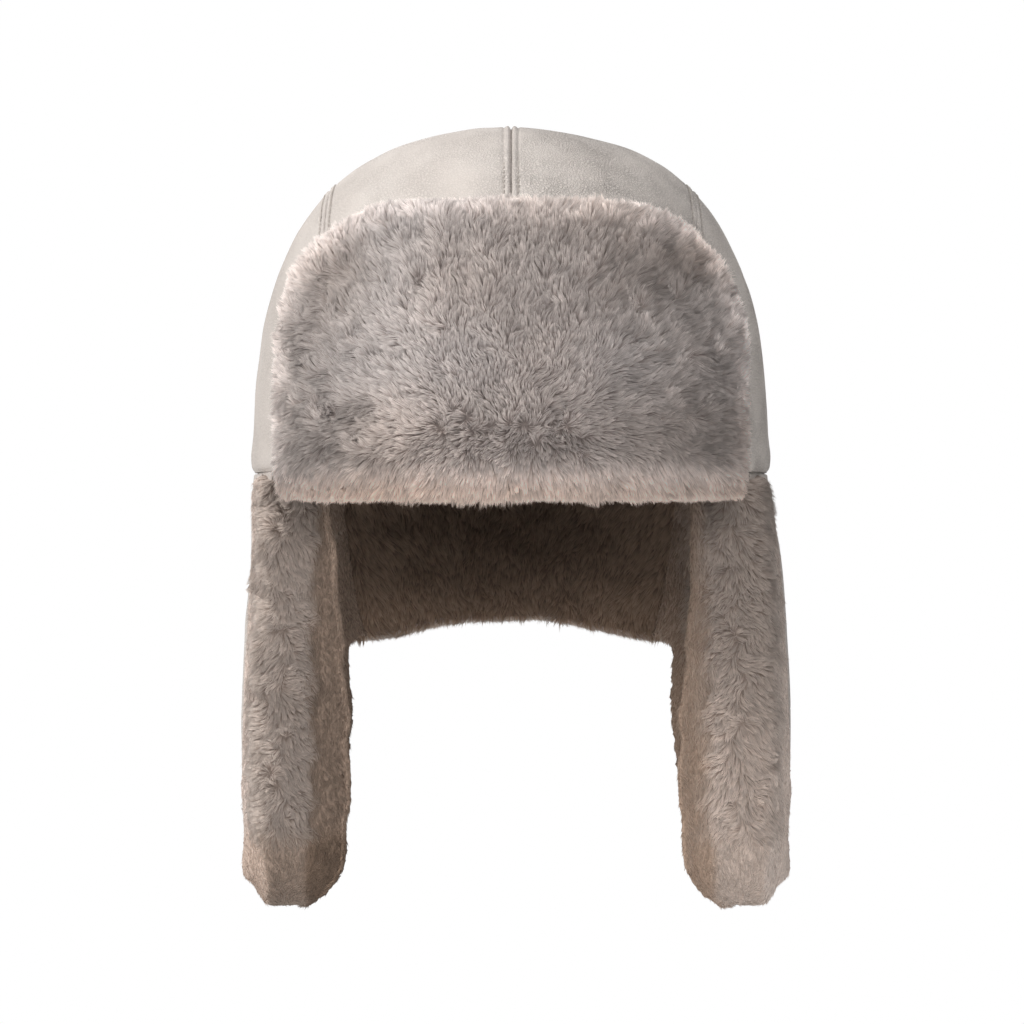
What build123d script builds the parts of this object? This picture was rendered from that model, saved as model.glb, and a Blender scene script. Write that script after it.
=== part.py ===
"""Trapper hat of sheared sheepskin, as separate solids: skins, wool piles, tapes and trims.

The crown is an oval dome of four panels. A visor stands folded up against its front, an ear
flap hangs on each side and a nape flap hangs at the back. Every panel is a skin (the leather
outside) with its wool pile as a second solid on the inside; the visor, which is folded up,
shows its pile to the front.

Millimetres, +Z up. The origin is the centre of the crown's open edge, where the head goes in.
The hat faces -Y. "left" and "right" are the wearer's, so left is +X.

Crown, brow band and visor are turned about Z from a half section in the XZ plane and then
drawn out along Y to the hat's length. Their insets and angles are those of the round form.
"""
from build123d import *
import math
import os

# ---------------------------------------------------------------- crown
CROWN_HALF_WIDTH = 112.5
CROWN_HALF_LENGTH = 128.0
CROWN_HEIGHT = 148.0
CROWN_ROUNDNESS = 2.7  # exponent of the superellipse that the dome's section follows
SIDE_SEAM_X = 78.5  # the side seams lie in upright planes this far from the middle
LINING_SEAM_ANGLE = 63.0  # the lining's own side seams, round from the front and the back

# ---------------------------------------------------------------- sheepskin and tapes
SKIN = 1.4  # leather thickness
CROWN_PILE = 24.0
FLAP_PILE = 22.0
VISOR_PILE = 21.0
TAPE_WIDTH = 10.0
TAPE_THICKNESS = 0.5
TAPE_CLEARANCE = 0.1  # to the skin and to the lining
TAPE_END_RADIUS = 14.0  # the middle seam's tapes stop this far from the crown's axis
EDGE_TAPE_BOTTOM = 1.0  # from the crown's edge up to its stay tape
TAPE_SPACING = 2.0  # between the stay tape and the seam tapes

# ---------------------------------------------------------------- brow band, under the crown's front
BROW_DROP = 12.0
BROW_ANGLE = 50.0  # each side of the front, so that it ends in front of the ear flaps

# ---------------------------------------------------------------- visor
VISOR_HEIGHT = 121.0
VISOR_ANGLE = 47.5  # each side of the front, degrees
VISOR_CLEARANCE = 0.5  # between the crown's skin and the folded-up visor
VISOR_STAND_OFF = 11.0  # how far its top edge stands out from the crown
VISOR_TOP_CORNER = 60.0
VISOR_BOTTOM_CORNER = 9.0

# ---------------------------------------------------------------- ear flaps and nape flap
FOLD_GAP = 0.4  # between the crown's edge and what hangs from it
FLAP_DROP = 190.0
FLAP_FRONT_Y = -58.0
FLAP_FRONT_SLANT = 10.0  # the front edge runs back this far at the bottom
FLAP_REAR_SLANT = 30.0  # the rear edge runs forward this far at the bottom
FLAP_FRONT_CORNER = 24.0
FLAP_REAR_CORNER = 45.0
REAR_CORNER_FIT = 1.1  # the rear corner is blunt, so its radius may be this share of the edge left to it
JOIN_Y = 58.0  # plane where an ear flap meets the nape flap
JOIN_GAP = 0.6
FLAP_REAR_Y = JOIN_Y - 8.0  # rear edge, just under the nape flap's level
NAPE_DROP = 68.0
TRIM_WIDTH = 18.0  # pile turned over the edge to the outside
TRIM_PILE = 6.0

# The flaps' wall, from the fold down: share of FLAP_DROP, then how much half-width is gained,
# how much half-length is lost and how far the oval's centre moves to the front.
WALL_LEVELS = (
    (0.0, 0.0, 0.0, 0.0),
    (0.32, 6.0, 24.0, 1.0),
    (0.63, 8.0, 42.0, 6.0),
    (1.0, 1.5, 38.0, 6.0),
)

# ---------------------------------------------------------------- working values
LENGTHEN = CROWN_HALF_LENGTH / CROWN_HALF_WIDTH
LINING_INSET = SKIN + TAPE_THICKNESS + 2 * TAPE_CLEARANCE
DOME_POINTS = 12
VISOR_POINTS = 5
OVAL_POINTS = 20
REACH = 400.0  # longer than anything in the hat, for cutting solids
SIDES = {"left": 1, "right": -1}


# ================================================================ half sections, in the XZ plane
def dome_x(z, inset):
    """The dome's half width at height z, this far inside its outer surface."""
    share = min(z / (CROWN_HEIGHT - inset), 1.0)
    return (CROWN_HALF_WIDTH - inset) * (1 - share**CROWN_ROUNDNESS) ** (1 / CROWN_ROUNDNESS)


def dome_points(inset):
    """Points up the dome's half section, from its edge to its top."""
    points = []
    for step in range(DOME_POINTS + 1):
        turn = math.pi / 2 * step / DOME_POINTS
        x = (CROWN_HALF_WIDTH - inset) * math.cos(turn) ** (2 / CROWN_ROUNDNESS)
        z = (CROWN_HEIGHT - inset) * math.sin(turn) ** (2 / CROWN_ROUNDNESS)
        points.append((x, 0, z))
    points[-1] = (0, 0, CROWN_HEIGHT - inset)
    return points


def dome_section(inset, thickness):
    """Half section of a layer of the crown."""
    edges = ((0, 0, 1), (-1, 0, 0))
    outer = Spline(dome_points(inset), tangents=edges)
    inner = Spline(dome_points(inset + thickness), tangents=edges)
    return Face(Wire([outer, Line(outer @ 1, inner @ 1), inner, Line(inner @ 0, outer @ 0)]))


def block_section(outset, thickness, low, high):
    """Upright rectangle: its outer side lies this far out from the crown's edge."""
    outer = CROWN_HALF_WIDTH + outset
    corners = [(outer - thickness, low), (outer, low), (outer, high), (outer - thickness, high)]
    return Face(Wire(Polyline(*[(x, 0, z) for x, z in corners], close=True).edges()))


def visor_section(outset, thickness):
    """Half section of a layer of the visor. It leans away from the crown towards its top."""
    top = VISOR_HEIGHT - BROW_DROP
    sides = []
    for out in (outset + thickness, outset):
        points = [(CROWN_HALF_WIDTH + VISOR_CLEARANCE + out, 0, -BROW_DROP)]
        for step in range(VISOR_POINTS + 1):
            z = top * step / VISOR_POINTS
            lean = VISOR_STAND_OFF * (step / VISOR_POINTS) ** 2
            points.append((dome_x(z, 0) + VISOR_CLEARANCE + lean + out, 0, z))
        sides.append(Spline(points))
    front, back = sides
    return Face(Wire([front, Line(front @ 1, back @ 1), back, Line(back @ 0, front @ 0)]))


def turned(section, first, last):
    """A half section turned between two angles round from the front, then drawn out along Y."""
    swept = revolve(Rot(0, 0, first - 90) * section, Axis.Z, last - first)
    return scale(swept, by=(1, LENGTHEN, 1))


# ================================================================ the flaps' wall
def oval_wire(half_width, half_length, centre_y, z):
    points = []
    for step in range(OVAL_POINTS):
        turn = 2 * math.pi * step / OVAL_POINTS
        points.append((half_width * math.sin(turn), centre_y - half_length * math.cos(turn), z))
    return Wire([Spline(points, periodic=True)])


def flap_wall(outset):
    """Solid bounded by the wall that the flaps' skins lie on, moved outwards by outset."""
    ovals = []
    for share, gain, loss, forward in WALL_LEVELS:
        half_width = CROWN_HALF_WIDTH + gain + outset
        half_length = CROWN_HALF_LENGTH - loss + outset
        ovals.append(oval_wire(half_width, half_length, -forward, -share * FLAP_DROP))
    return Solid.make_loft(ovals)


def flap_shell(outset, thickness):
    """Layer of the flaps' wall, from outset inwards."""
    return flap_wall(outset) - flap_wall(outset - thickness)


# ================================================================ cutting solids
def slab(x=(-REACH, REACH), y=(-REACH, REACH), z=(-REACH, REACH)):
    """Box between these limits."""
    size = [high - low for low, high in (x, y, z)]
    middle = [(high + low) / 2 for low, high in (x, y, z)]
    return Pos(*middle) * Box(*size)


def ear_flap_blank(margin, past_joins=0.0):
    """Side-view outline of the left ear flap, run along X. The free edges step in by margin."""
    top = -FOLD_GAP + past_joins
    rear = JOIN_Y - JOIN_GAP / 2 + past_joins
    bottom = -FLAP_DROP + margin
    hem = -NAPE_DROP + margin
    front_top = FLAP_FRONT_Y - FLAP_FRONT_SLANT * past_joins / (-FOLD_GAP - bottom)
    corners = [
        (front_top + margin, top),
        (FLAP_FRONT_Y + FLAP_FRONT_SLANT + margin, bottom),
        (FLAP_REAR_Y - FLAP_REAR_SLANT - margin, bottom),
        (FLAP_REAR_Y - margin, hem),
        (rear, hem),
        (rear, top),
    ]
    front_radius = FLAP_FRONT_CORNER - margin
    edge_left = corners[2][0] - corners[1][0] - front_radius
    rear_radius = min(FLAP_REAR_CORNER - margin, REAR_CORNER_FIT * edge_left)
    inner_radius = 0.8 * (JOIN_Y - JOIN_GAP / 2 - FLAP_REAR_Y)
    radii = [0, front_radius, rear_radius, inner_radius, 0, 0]
    outline = FilletPolyline(*[(0, y, z) for y, z in corners], radius=radii, close=True)
    return extrude(Face(Wire(outline.edges())), REACH, dir=(1, 0, 0))


def visor_blank():
    """Front-view outline of the visor, run along Y."""
    outer = CROWN_HALF_WIDTH + VISOR_CLEARANCE + SKIN + VISOR_PILE
    half_width = outer * math.sin(math.radians(VISOR_ANGLE))
    bottom, top = -BROW_DROP, VISOR_HEIGHT - BROW_DROP
    corners = [(-half_width, bottom), (half_width, bottom), (half_width, top), (-half_width, top)]
    low, high = VISOR_BOTTOM_CORNER, VISOR_TOP_CORNER
    corners = [(x, 0, z) for x, z in corners]
    outline = FilletPolyline(*corners, radius=[low, low, high, high], close=True)
    return extrude(Face(Wire(outline.edges())), REACH, dir=(0, -1, 0))


# ================================================================ parts of the hat
def make_crown():
    """Four skin panels, and a lining of six gores of wool."""
    parts = {}
    turns = (0, LINING_SEAM_ANGLE, 180 - LINING_SEAM_ANGLE, 180)
    for side, sign in SIDES.items():
        half = turned(dome_section(0, SKIN), *sorted((0, sign * 180)))
        seam = sign * SIDE_SEAM_X
        parts[f"crown_skin_top_{side}"] = half & slab(x=sorted((seam, -sign * REACH)))
        parts[f"crown_skin_side_{side}"] = half & slab(x=sorted((seam, sign * REACH)))
        for place, first, last in zip(("front", "side", "back"), turns, turns[1:]):
            lining = dome_section(LINING_INSET, CROWN_PILE)
            angles = sorted((sign * first, sign * last))
            parts[f"crown_wool_{place}_{side}"] = turned(lining, *angles)
    return parts


def make_tapes():
    """Tape along each seam, and a stay tape round the open edge, between skin and lining."""
    inset = SKIN + TAPE_CLEARANCE
    edge_top = EDGE_TAPE_BOTTOM + TAPE_WIDTH
    edge_section = block_section(-inset, TAPE_THICKNESS, EDGE_TAPE_BOTTOM, edge_top)
    parts = {"crown_edge_tape": turned(edge_section, 0, 360)}
    half = TAPE_WIDTH / 2
    above = (edge_top + TAPE_SPACING, REACH)
    strip = slab(x=(-half, half), y=(-REACH, -TAPE_END_RADIUS), z=above)
    spread = math.degrees(math.asin(half / TAPE_END_RADIUS)) + 1
    for place, angle in {"front": 0, "back": 180}.items():
        section = Rot(0, 0, angle - spread - 90) * dome_section(inset, TAPE_THICKNESS)
        tape = revolve(section, Axis.Z, 2 * spread) & (Rot(0, 0, angle) * strip)
        parts[f"crown_seam_tape_{place}"] = scale(tape, by=(1, LENGTHEN, 1))
    for side, sign in SIDES.items():
        layer = turned(dome_section(inset, TAPE_THICKNESS), *sorted((0, sign * 180)))
        limits = sorted((sign * (SIDE_SEAM_X - half), sign * (SIDE_SEAM_X + half)))
        parts[f"crown_seam_tape_{side}"] = layer & slab(x=limits, z=above)
    return parts


def make_brow_band():
    """Short band under the crown's front. The visor's fold hangs in front of it."""
    angles = (-BROW_ANGLE, BROW_ANGLE)
    skin = block_section(0, SKIN, -BROW_DROP, 0)
    wool = block_section(-SKIN, CROWN_PILE, -BROW_DROP, 0)
    return {"brow_band_skin": turned(skin, *angles), "brow_band_wool": turned(wool, *angles)}


def make_visor():
    """Skin against the crown, pile to the front."""
    layers = {"skin": visor_section(0, SKIN), "wool": visor_section(SKIN, VISOR_PILE)}
    angles = (-VISOR_ANGLE, VISOR_ANGLE)
    blank = visor_blank()
    return {f"visor_{kind}": turned(layer, *angles) & blank for kind, layer in layers.items()}


def make_ear_flaps():
    """Skin, pile, and the pile's edge turned to the outside as a trim."""
    skin = flap_shell(0, SKIN) & ear_flap_blank(TRIM_WIDTH)
    wool = flap_shell(-SKIN, FLAP_PILE) & ear_flap_blank(0)
    rim = flap_shell(TRIM_PILE, TRIM_PILE + SKIN) & ear_flap_blank(0)
    trim = rim - ear_flap_blank(TRIM_WIDTH, past_joins=TRIM_WIDTH)
    parts = {}
    for kind, left in {"skin": skin, "wool": wool, "trim": trim}.items():
        parts[f"ear_flap_left_{kind}"] = left
        parts[f"ear_flap_right_{kind}"] = mirror(left, Plane.YZ)
    return parts


def make_nape_flap():
    """The same three layers behind the join planes."""
    rear = (JOIN_Y + JOIN_GAP / 2, REACH)
    hem, trim_top = -NAPE_DROP, -NAPE_DROP + TRIM_WIDTH
    return {
        "nape_flap_skin": flap_shell(0, SKIN) & slab(y=rear, z=(trim_top, -FOLD_GAP)),
        "nape_flap_wool": flap_shell(-SKIN, FLAP_PILE) & slab(y=rear, z=(hem, -FOLD_GAP)),
        "nape_flap_trim": flap_shell(TRIM_PILE, TRIM_PILE + SKIN) & slab(y=rear, z=(hem, trim_top)),
    }


def write(parts):
    os.makedirs("parts", exist_ok=True)
    for name, part in parts.items():
        export_step(part, f"parts/{name}.step")
        solids = part.solids()
        print(f"{name:34s} {len(solids)} solid(s) {sum(s.volume for s in solids) / 1000:9.2f} cm3")


write({**make_crown(), **make_tapes(), **make_brow_band()})
write({**make_visor(), **make_ear_flaps(), **make_nape_flap()})
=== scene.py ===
"""Looks of the trapper hat: leather gores with topstitching, and wool pile built from real tufts.

Metres, +Z up, the hat faces -Y and the wearer's left is +X. Every place comes from the frame.
"""
import math

import bpy
import numpy as np
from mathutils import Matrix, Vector
from mathutils.bvhtree import BVHTree
from mathutils.kdtree import KDTree


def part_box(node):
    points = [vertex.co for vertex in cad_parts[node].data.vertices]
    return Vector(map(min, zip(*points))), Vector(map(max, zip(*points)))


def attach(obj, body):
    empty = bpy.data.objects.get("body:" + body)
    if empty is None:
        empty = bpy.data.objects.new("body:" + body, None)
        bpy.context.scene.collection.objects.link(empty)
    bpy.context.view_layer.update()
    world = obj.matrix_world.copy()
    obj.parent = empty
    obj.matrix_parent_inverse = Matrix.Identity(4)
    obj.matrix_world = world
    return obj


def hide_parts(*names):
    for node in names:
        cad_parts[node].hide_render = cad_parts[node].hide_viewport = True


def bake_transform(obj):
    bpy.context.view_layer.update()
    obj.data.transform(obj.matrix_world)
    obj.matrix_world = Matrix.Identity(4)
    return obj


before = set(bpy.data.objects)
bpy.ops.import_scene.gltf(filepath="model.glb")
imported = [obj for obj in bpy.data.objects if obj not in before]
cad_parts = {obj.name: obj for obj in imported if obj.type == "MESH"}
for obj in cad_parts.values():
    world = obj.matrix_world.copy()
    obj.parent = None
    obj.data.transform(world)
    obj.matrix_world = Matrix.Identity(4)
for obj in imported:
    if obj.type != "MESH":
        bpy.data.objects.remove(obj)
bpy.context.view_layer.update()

MM = 0.001
SIDES = {"left": 1, "right": -1}

# ---------------------------------------------------------------- sizes, most of them from the frame
CROWN_HALF_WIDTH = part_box("crown_skin_side_left")[1].x
CROWN_HALF_LENGTH = -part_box("crown_skin_top_left")[0].y
CROWN_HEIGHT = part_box("crown_skin_top_left")[1].z
LENGTHEN = CROWN_HALF_LENGTH / CROWN_HALF_WIDTH
CROWN_ROUNDNESS = 2.7  # exponent of the dome's curve from its edge to its top
SIDE_SEAM_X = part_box("crown_skin_side_left")[0].x
SKIN = 1.4 * MM  # thickness of the crown's leather
FLAP_END_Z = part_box("ear_flap_left_wool")[0].z


# ================================================================ small helpers
# mix a cell's place and a seed into one number
HASH_X, HASH_Y, HASH_Z, HASH_SEED = 73856093, 19349663, 83492791, 2654435761
HASH_STEP, HASH_SHIFT, HASH_MASK = 1103515245, 12345, 0x7FFFFFFF
SEED_STEP = 37.17  # one seed's noise lies this many features from the next one's


def smooth_noise(points, size, seed):
    """Smooth noise from -1 to 1 at points, with features of about this size."""
    p = points / size + SEED_STEP * (seed + 1)
    cell = np.floor(p).astype(np.int64)
    f = p - cell
    f = f * f * (3 - 2 * f)
    total = np.zeros(len(points))
    for dx in (0, 1):
        for dy in (0, 1):
            for dz in (0, 1):
                n = (cell[:, 0] + dx) * HASH_X ^ (cell[:, 1] + dy) * HASH_Y
                n = (n ^ (cell[:, 2] + dz) * HASH_Z ^ seed * HASH_SEED) & HASH_MASK
                n = (n * HASH_STEP + HASH_SHIFT) & HASH_MASK
                value = ((n >> 8) & 0xFFFF) / 32767.5 - 1
                wx = f[:, 0] if dx else 1 - f[:, 0]
                wy = f[:, 1] if dy else 1 - f[:, 1]
                wz = f[:, 2] if dz else 1 - f[:, 2]
                total += value * wx * wy * wz
    return total


def noise_vectors(points, size, seed):
    """Smooth noise in all three directions."""
    return np.stack([smooth_noise(points, size, seed + k) for k in range(3)], axis=1)


def unit(vectors):
    """The same ways, each of length 1."""
    return vectors / np.maximum(np.linalg.norm(vectors, axis=1, keepdims=True), 1e-9)


def ramp(value, start, end):
    """0 at start, 1 at end, smooth between."""
    t = np.clip((value - start) / (end - start), 0, 1)
    return t * t * (3 - 2 * t)


def running_length(points):
    """How far along a path each of its points lies."""
    return np.concatenate([[0], np.cumsum(np.linalg.norm(np.diff(points, axis=0), axis=1))])


def bell(value, width):
    """1 at zero, falling smoothly towards 0 beyond this width."""
    return np.exp(-((value / width) ** 2))


def blot(x, y, middle_x, middle_y, width, height):
    """1 at a place, falling smoothly towards 0 beyond this width and height."""
    return np.exp(-(((x - middle_x) / width) ** 2 + ((y - middle_y) / height) ** 2))


def new_mesh(name, points, faces, material, body):
    """A piece from arrays of points and of faces that all have the same number of corners."""
    mesh = bpy.data.meshes.new(name)
    faces = np.asarray(faces)
    corners = faces.shape[1]
    mesh.vertices.add(len(points))
    mesh.vertices.foreach_set("co", np.asarray(points, dtype=np.float32).ravel())
    mesh.loops.add(faces.size)
    mesh.loops.foreach_set("vertex_index", faces.astype(np.int32).ravel())
    mesh.polygons.add(len(faces))
    mesh.polygons.foreach_set("loop_start", np.arange(0, faces.size, corners, dtype=np.int32))
    mesh.polygons.foreach_set("loop_total", np.full(len(faces), corners, dtype=np.int32))
    mesh.update(calc_edges=True)
    mesh.validate()
    mesh.shade_smooth()
    obj = bpy.data.objects.new(name, mesh)
    bpy.context.scene.collection.objects.link(obj)
    finish_piece(obj, material, body)
    return obj


def finish_piece(obj, material, body):
    """Material and body of a new piece. One with no body is left unattached."""
    obj.data.materials.clear()
    obj.data.materials.append(material)
    if body is not None:
        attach(obj, body)


def apply_modifiers(obj):
    """Turn what a piece's modifiers show into its mesh."""
    graph = bpy.context.evaluated_depsgraph_get()
    mesh = bpy.data.meshes.new_from_object(obj.evaluated_get(graph))
    old = obj.data
    obj.modifiers.clear()
    obj.data = mesh
    bpy.data.meshes.remove(old)


def rows_of(items, attribute, kind=np.float32):
    """An attribute that holds three numbers, as a row for each item."""
    values = np.empty(len(items) * 3, dtype=kind)
    items.foreach_get(attribute, values)
    return values.reshape(-1, 3)


def coordinates(mesh):
    return rows_of(mesh.vertices, "co").astype(float)


def vertex_normals(mesh):
    return rows_of(mesh.vertex_normals, "vector").astype(float)


def triangles_of(mesh):
    mesh.calc_loop_triangles()
    return rows_of(mesh.loop_triangles, "vertices", np.int32)


def set_coordinates(mesh, points):
    mesh.vertices.foreach_set("co", points.astype(np.float32).ravel())
    mesh.update()


def node_arrays(*nodes):
    """Points and triangles of these CAD nodes."""
    points, triangles, count = [], [], 0
    for node in nodes:
        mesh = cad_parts[node].data
        points.append(coordinates(mesh))
        triangles.append(triangles_of(mesh) + count)
        count += len(mesh.vertices)
    return np.concatenate(points), np.concatenate(triangles)


def node_tree(*nodes):
    """The surface of these CAD nodes, for measuring distances."""
    points, triangles = node_arrays(*nodes)
    return BVHTree.FromPolygons(points.tolist(), triangles.tolist())


def distances(points, tree):
    """Distance of each point from a surface."""
    return np.array([tree.find_nearest(Vector(p))[3] for p in points])


def nearest(points, marks):
    """For each point, which of the marks is nearest."""
    tree = KDTree(len(marks))
    for number, mark in enumerate(marks):
        tree.insert(mark, number)
    tree.balance()
    return np.array([tree.find(p)[1] for p in points])


def even_copy(name, nodes, material, body, voxel, smoothing, rounds, thin_out=None):
    """A piece from these CAD nodes, meshed evenly and smoothed, ready to be shaped."""
    points, triangles = node_arrays(*nodes)
    piece = new_mesh(name, points, triangles, material, body)
    remesh = piece.modifiers.new("even", "REMESH")
    remesh.mode, remesh.voxel_size, remesh.adaptivity = "VOXEL", voxel, 0.0
    soften = piece.modifiers.new("soften", "SMOOTH")
    soften.factor, soften.iterations = smoothing, rounds
    if thin_out is not None:
        piece.modifiers.new("thin_out", "DECIMATE").ratio = thin_out
    apply_modifiers(piece)
    piece.data.shade_smooth()
    piece.data.materials.clear()
    piece.data.materials.append(material)
    return piece


# ================================================================ materials
def new_material(name):
    material = bpy.data.materials.new(name)
    material.use_nodes = True
    tree = material.node_tree
    return material, tree, tree.nodes["Principled BSDF"]


def feed(tree, socket, value):
    """Give a socket its value, which is another socket, a number or a colour."""
    if isinstance(value, bpy.types.NodeSocket):
        tree.links.new(value, socket)
    elif isinstance(value, (int, float)):
        socket.default_value = value
    else:
        socket.default_value = (*value, 1)


def object_place(tree):
    return tree.nodes.new("ShaderNodeTexCoord").outputs["Object"]


def coloured(tree, value, *stops):
    """A value turned into colour. Each stop is a place from 0 to 1 and a colour or a grey."""
    node = tree.nodes.new("ShaderNodeValToRGB")
    elements = node.color_ramp.elements
    while len(elements) < len(stops):
        elements.new(0.5)
    for element, (place, colour) in zip(elements, stops):
        element.position = place
        element.color = (*colour, 1) if isinstance(colour, tuple) else (colour, colour, colour, 1)
    tree.links.new(value, node.inputs[0])
    return node.outputs[0]


def noise(tree, place, size, detail, roughness=0.55):
    """Noise node with features of about size metres."""
    node = tree.nodes.new("ShaderNodeTexNoise")
    node.inputs["Scale"].default_value = 1 / size
    node.inputs["Detail"].default_value = detail
    node.inputs["Roughness"].default_value = roughness
    tree.links.new(place, node.inputs["Vector"])
    return node


def mixed(tree, blend, factor, a, b):
    """Colour mix. Each input is a socket, a number or a colour."""
    node = tree.nodes.new("ShaderNodeMix")
    node.data_type, node.blend_type = "RGBA", blend
    for socket, value in ((node.inputs[0], factor), (node.inputs[6], a), (node.inputs[7], b)):
        feed(tree, socket, value)
    return node.outputs[2]


def calculated(tree, operation, *values):
    """Result of a Math node. Each value is a socket or a number."""
    node = tree.nodes.new("ShaderNodeMath")
    node.operation = operation
    for socket, value in zip(node.inputs, values):
        feed(tree, socket, value)
    return node.outputs[0]


def rescaled(tree, value, low, high=1.0, start=0.0, end=1.0, easing="LINEAR"):
    """A value that runs from low to high while the one given runs from start to end."""
    node = tree.nodes.new("ShaderNodeMapRange")
    node.interpolation_type = easing
    node.inputs["From Min"].default_value = start
    node.inputs["From Max"].default_value = end
    node.inputs["To Min"].default_value = low
    node.inputs["To Max"].default_value = high
    tree.links.new(value, node.inputs["Value"])
    return node.outputs[0]


def bumped(tree, height, distance, strength=1.0, normal=None):
    """Normals with a bump of this height on top of those given."""
    node = tree.nodes.new("ShaderNodeBump")
    node.inputs["Distance"].default_value = distance
    feed(tree, node.inputs["Strength"], strength)
    tree.links.new(height, node.inputs["Height"])
    if normal is not None:
        tree.links.new(normal, node.inputs["Normal"])
    return node.outputs[0]


LEATHER_DYE = ((0.53, 0.484, 0.452), (0.59, 0.547, 0.515))  # darkest and palest
GRAIN_SIZE = 1.25 * MM
GRAIN_DEPTH = 0.45 * MM
GRAIN_WARP = 1.3 * MM  # bends the grain's pebbles out of their straight-sided cells
GRAIN_SHADE = 0.3  # how much darker the creases are
PORE_SIZE = 0.5 * MM
PORE_DEPTH = 0.12 * MM
WORN_FROM_X, WORN_TO_X = 25 * MM, -20 * MM  # the grain wears down between these places
WORN_GRAIN = 0.55  # share of the grain's depth that is left where it is worn


def leather_material():
    """Pale grey nappa, slightly uneven in dye. Its pebbled grain is shallower on the wearer's right."""
    material, tree, shader = new_material("leather")
    place = object_place(tree)
    dye = noise(tree, place, 38 * MM, 4).outputs["Fac"]
    colour = coloured(tree, dye, *zip((0.25, 0.75), LEATHER_DYE))
    warp = noise(tree, place, 2.2 * MM, 2)
    bent = tree.nodes.new("ShaderNodeVectorMath")
    bent.operation = "MULTIPLY_ADD"
    bent.inputs[1].default_value = (GRAIN_WARP,) * 3
    tree.links.new(warp.outputs["Color"], bent.inputs[0])
    tree.links.new(place, bent.inputs[2])
    grain = tree.nodes.new("ShaderNodeTexVoronoi")
    grain.feature = "DISTANCE_TO_EDGE"
    grain.inputs["Scale"].default_value = 1 / GRAIN_SIZE
    tree.links.new(bent.outputs[0], grain.inputs["Vector"])
    creases = coloured(tree, grain.outputs["Distance"], (0.0, 0.0), (0.22, 1.0))
    sides = tree.nodes.new("ShaderNodeSeparateXYZ")
    tree.links.new(place, sides.inputs[0])
    worn = rescaled(tree, sides.outputs["X"], WORN_GRAIN, start=WORN_TO_X, end=WORN_FROM_X)
    patch = noise(tree, place, 22 * MM, 2).outputs["Fac"]
    patches = rescaled(tree, patch, WORN_GRAIN, start=0.35, end=0.6)
    strength = calculated(tree, "MULTIPLY", worn, patches)
    shading = calculated(tree, "MULTIPLY", strength, GRAIN_SHADE)
    feed(tree, shader.inputs["Base Color"], mixed(tree, "MULTIPLY", shading, colour, creases))
    pebbled = bumped(tree, creases, GRAIN_DEPTH, strength)
    pores = noise(tree, place, PORE_SIZE, 2).outputs["Fac"]
    feed(tree, shader.inputs["Normal"], bumped(tree, pores, PORE_DEPTH, 0.5, pebbled))
    feed(tree, shader.inputs["Roughness"], rescaled(tree, creases, 0.85, 0.68))
    shader.inputs["Specular IOR Level"].default_value = 0.18
    return material


SHADE_RANGE = (0.74, 1.26)  # darkest and palest strand beside its neighbours
TONE_AND_PAINTED_LIGHT_RANGE = (0.3, 1.5)  # darkest and palest spot of a pile, from its own tone and from painted light and shade
WARM_TINT = (1.0, 0.80, 0.63)


def fur_material(name, root, middle, tip, coat=False):
    """Pile. The attribute "strand" holds: way along the strand, shade, tone of the spot with painted
    light and shade, warmth with some painted shade.
    """
    material, tree, shader = new_material(name)
    strand = tree.nodes.new("ShaderNodeAttribute")
    strand.attribute_name = "strand"
    parts = tree.nodes.new("ShaderNodeSeparateColor")
    tree.links.new(strand.outputs["Color"], parts.inputs[0])
    colour = coloured(tree, parts.outputs["Red"], (0.0, root), (0.45, middle), (1.0, tip))
    for channel, limits in (("Green", SHADE_RANGE), ("Blue", TONE_AND_PAINTED_LIGHT_RANGE)):
        scaled = rescaled(tree, parts.outputs[channel], *limits)
        colour = mixed(tree, "MULTIPLY", 1.0, colour, scaled)
    colour = mixed(tree, "MULTIPLY", strand.outputs["Alpha"], colour, WARM_TINT)
    shader.inputs["Roughness"].default_value = 0.7
    shader.inputs["Specular IOR Level"].default_value = 0.2
    if coat:
        mottle = noise(tree, object_place(tree), 1.6 * MM, 4, 0.7).outputs["Fac"]
        shades = coloured(tree, mottle, (0.3, 0.7), (0.7, 1.1))
        colour = mixed(tree, "MULTIPLY", 1.0, colour, shades)
        feed(tree, shader.inputs["Normal"], bumped(tree, mottle, 0.8 * MM))
    tree.links.new(colour, shader.inputs["Base Color"])
    return material


def thread_material():
    """Twisted polyester thread, a little darker than the leather."""
    material, tree, shader = new_material("thread")
    twist = noise(tree, object_place(tree), 0.4 * MM, 2).outputs["Fac"]
    colour = coloured(tree, twist, (0.35, (0.33, 0.295, 0.265)), (0.65, (0.46, 0.42, 0.385)))
    tree.links.new(colour, shader.inputs["Base Color"])
    shader.inputs["Roughness"].default_value = 0.6
    feed(tree, shader.inputs["Normal"], bumped(tree, twist, 0.08 * MM))
    return material


YARN_PITCH = 0.8 * MM
BAND_PITCH = 0.31  # a wave texture's bands are about this far apart at scale 1


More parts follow.
